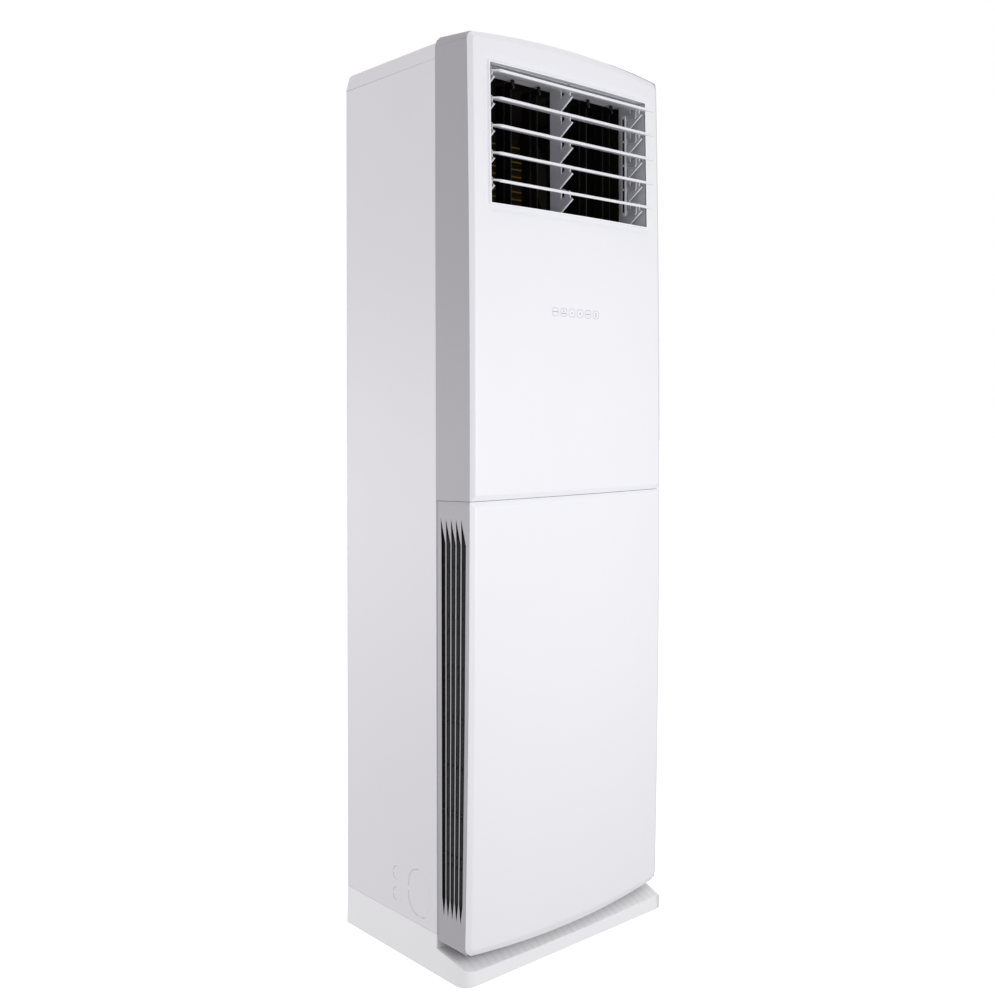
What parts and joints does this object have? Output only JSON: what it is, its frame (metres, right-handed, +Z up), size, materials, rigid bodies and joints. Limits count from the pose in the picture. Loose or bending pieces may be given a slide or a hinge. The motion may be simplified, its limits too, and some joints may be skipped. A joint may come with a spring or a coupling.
{
  "type": "floor standing air conditioner",
  "caption": "Tall floor standing air conditioner with a louvred outlet at the top front, swinging vanes behind it, side intake grilles, pull-out filters and a blower.",
  "frame": {"origin": "middle of the footprint, on the floor", "axes": "+Z up, the front with the outlet faces -Y, +X to the right of someone who looks at the front"},
  "size_m": [0.544, 0.4346, 1.8046],
  "materials": {
    "cabinet_paint": "off-white powder coat, satin",
    "base_white": "white moulded plastic, satin",
    "fascia_white": "white moulded plastic, soft gloss",
    "trim_grey": "silver-grey moulded plastic, satin",
    "duct_grey": "light grey moulded plastic",
    "louvre_white": "white moulded plastic",
    "vane_black": "black moulded plastic",
    "plenum_foam": "dark insulating foam",
    "coil_fins": "gold-coated fin pack",
    "copper_tube": "bare copper",
    "zinc_steel": "zinc-plated sheet",
    "tray_black": "black moulded plastic",
    "scroll_white": "white moulded plastic",
    "motor_shell": "dark grey paint",
    "circuit_board": "green board",
    "filter_net": "dark nylon net in a plastic frame"
  },
  "bodies": {
    "cabinet": {"base_plinth": "base_white", "base_pan": "zinc_steel", "side_panel_left": "cabinet_paint", "side_panel_right": "cabinet_paint", "rear_panel": "cabinet_paint", "top_cover": "cabinet_paint", "upper_front_panel": "fascia_white", "upper_trim_left": "trim_grey", "upper_trim_right": "trim_grey", "upper_trim_top": "trim_grey", "outlet_duct": "duct_grey", "louvre_support_left": "duct_grey", "louvre_support_centre": "duct_grey", "louvre_support_right": "duct_grey", "vane_rail_lower": "vane_black", "vane_rail_upper": "vane_black", "plenum_left": "plenum_foam", "plenum_right": "plenum_foam", "plenum_top": "plenum_foam", "evaporator_core": "coil_fins", "evaporator_end_left": "copper_tube", "evaporator_end_right": "copper_tube", "drip_tray": "tray_black", "gas_pipe": "copper_tube", "liquid_pipe": "copper_tube", "fan_scroll": "scroll_white", "inlet_bellmouth": "scroll_white", "fan_motor": "motor_shell", "motor_bracket": "zinc_steel", "fan_deck": "zinc_steel", "middle_rail": "zinc_steel", "control_box": "zinc_steel", "control_box_cover": "zinc_steel", "control_board": "circuit_board", "terminal_block": "tray_black", "touch_board": "circuit_board", "louvre_motor": "motor_shell", "vane_motor": "motor_shell"},
    "louvre_1": {"louvre_1": "louvre_white"},
    "louvre_2": {"louvre_2": "louvre_white"},
    "louvre_3": {"louvre_3": "louvre_white"},
    "louvre_4": {"louvre_4": "louvre_white"},
    "louvre_5": {"louvre_5": "louvre_white"},
    "louvre_link": {"louvre_link": "louvre_white"},
    "vane_1": {"vane_1": "vane_black"},
    "vane_2": {"vane_2": "vane_black"},
    "vane_3": {"vane_3": "vane_black"},
    "vane_4": {"vane_4": "vane_black"},
    "vane_5": {"vane_5": "vane_black"},
    "vane_6": {"vane_6": "vane_black"},
    "vane_link": {"vane_link": "vane_black"},
    "fan": {"impeller": "vane_black", "fan_shaft": "zinc_steel", "impeller_nut": "zinc_steel"},
    "lower_panel": {"lower_front_panel": "fascia_white", "intake_grille_left": "trim_grey", "intake_grille_right": "trim_grey"},
    "filter_left": {"filter_left": "filter_net"},
    "filter_right": {"filter_right": "filter_net"}
  },
  "joints": [
    {"name": "louvre_1_tilt", "type": "hinge", "parent": "cabinet", "child": "louvre_1", "pos_m": [0, -0.1767, 1.723], "axis": [1, 0, 0], "range_deg": [-25, 25]},
    {"name": "louvre_2_tilt", "type": "hinge", "parent": "cabinet", "child": "louvre_2", "pos_m": [0, -0.1767, 1.6715], "axis": [1, 0, 0], "range_deg": [-25, 25]},
    {"name": "louvre_3_tilt", "type": "hinge", "parent": "cabinet", "child": "louvre_3", "pos_m": [0, -0.1767, 1.62], "axis": [1, 0, 0], "range_deg": [-25, 25]},
    {"name": "louvre_4_tilt", "type": "hinge", "parent": "cabinet", "child": "louvre_4", "pos_m": [0, -0.1767, 1.5685], "axis": [1, 0, 0], "range_deg": [-25, 25]},
    {"name": "louvre_5_tilt", "type": "hinge", "parent": "cabinet", "child": "louvre_5", "pos_m": [0, -0.1767, 1.517], "axis": [1, 0, 0], "range_deg": [-25, 25]},
    {"name": "louvre_link_pivot", "type": "hinge", "parent": "louvre_1", "child": "louvre_link", "pos_m": [0.2014, -0.1452, 1.71], "axis": [1, 0, 0], "range_deg": [-25, 25]},
    {"name": "vane_1_swing", "type": "hinge", "parent": "cabinet", "child": "vane_1", "pos_m": [-0.18, -0.1027, 1.6], "axis": [0, 0, 1], "range_deg": [-35, 35]},
    {"name": "vane_2_swing", "type": "hinge", "parent": "cabinet", "child": "vane_2", "pos_m": [-0.108, -0.1027, 1.6], "axis": [0, 0, 1], "range_deg": [-35, 35]},
    {"name": "vane_3_swing", "type": "hinge", "parent": "cabinet", "child": "vane_3", "pos_m": [-0.036, -0.1027, 1.6], "axis": [0, 0, 1], "range_deg": [-35, 35]},
    {"name": "vane_4_swing", "type": "hinge", "parent": "cabinet", "child": "vane_4", "pos_m": [0.036, -0.1027, 1.6], "axis": [0, 0, 1], "range_deg": [-35, 35]},
    {"name": "vane_5_swing", "type": "hinge", "parent": "cabinet", "child": "vane_5", "pos_m": [0.108, -0.1027, 1.6], "axis": [0, 0, 1], "range_deg": [-35, 35]},
    {"name": "vane_6_swing", "type": "hinge", "parent": "cabinet", "child": "vane_6", "pos_m": [0.18, -0.1027, 1.6], "axis": [0, 0, 1], "range_deg": [-35, 35]},
    {"name": "vane_link_pivot", "type": "hinge", "parent": "vane_1", "child": "vane_link", "pos_m": [-0.18, -0.1147, 1.472], "axis": [0, 0, 1], "range_deg": [-35, 35]},
    {"name": "fan_spin", "type": "hinge", "parent": "cabinet", "child": "fan", "pos_m": [-0.025, 0.0173, 0.52], "axis": [0, 1, 0], "continuous": true},
    {"name": "lower_panel_pull", "type": "slide", "parent": "cabinet", "child": "lower_panel", "axis": [0, -1, 0], "range_m": [0, 0.15]},
    {"name": "filter_left_pull", "type": "slide", "parent": "lower_panel", "child": "filter_left", "axis": [1, 0, 0], "range_m": [0, 0.06]},
    {"name": "filter_right_pull", "type": "slide", "parent": "lower_panel", "child": "filter_right", "axis": [-1, 0, 0], "range_m": [0, 0.06]}
  ],
  "couplings": [
    {"joint": "louvre_2_tilt", "follows": "louvre_1_tilt", "ratio": 1},
    {"joint": "louvre_3_tilt", "follows": "louvre_1_tilt", "ratio": 1},
    {"joint": "louvre_4_tilt", "follows": "louvre_1_tilt", "ratio": 1},
    {"joint": "louvre_5_tilt", "follows": "louvre_1_tilt", "ratio": 1},
    {"joint": "louvre_link_pivot", "follows": "louvre_1_tilt", "ratio": -1},
    {"joint": "vane_2_swing", "follows": "vane_1_swing", "ratio": 1},
    {"joint": "vane_3_swing", "follows": "vane_1_swing", "ratio": 1},
    {"joint": "vane_4_swing", "follows": "vane_1_swing", "ratio": 1},
    {"joint": "vane_5_swing", "follows": "vane_1_swing", "ratio": 1},
    {"joint": "vane_6_swing", "follows": "vane_1_swing", "ratio": 1},
    {"joint": "vane_link_pivot", "follows": "vane_1_swing", "ratio": -1}
  ]
}
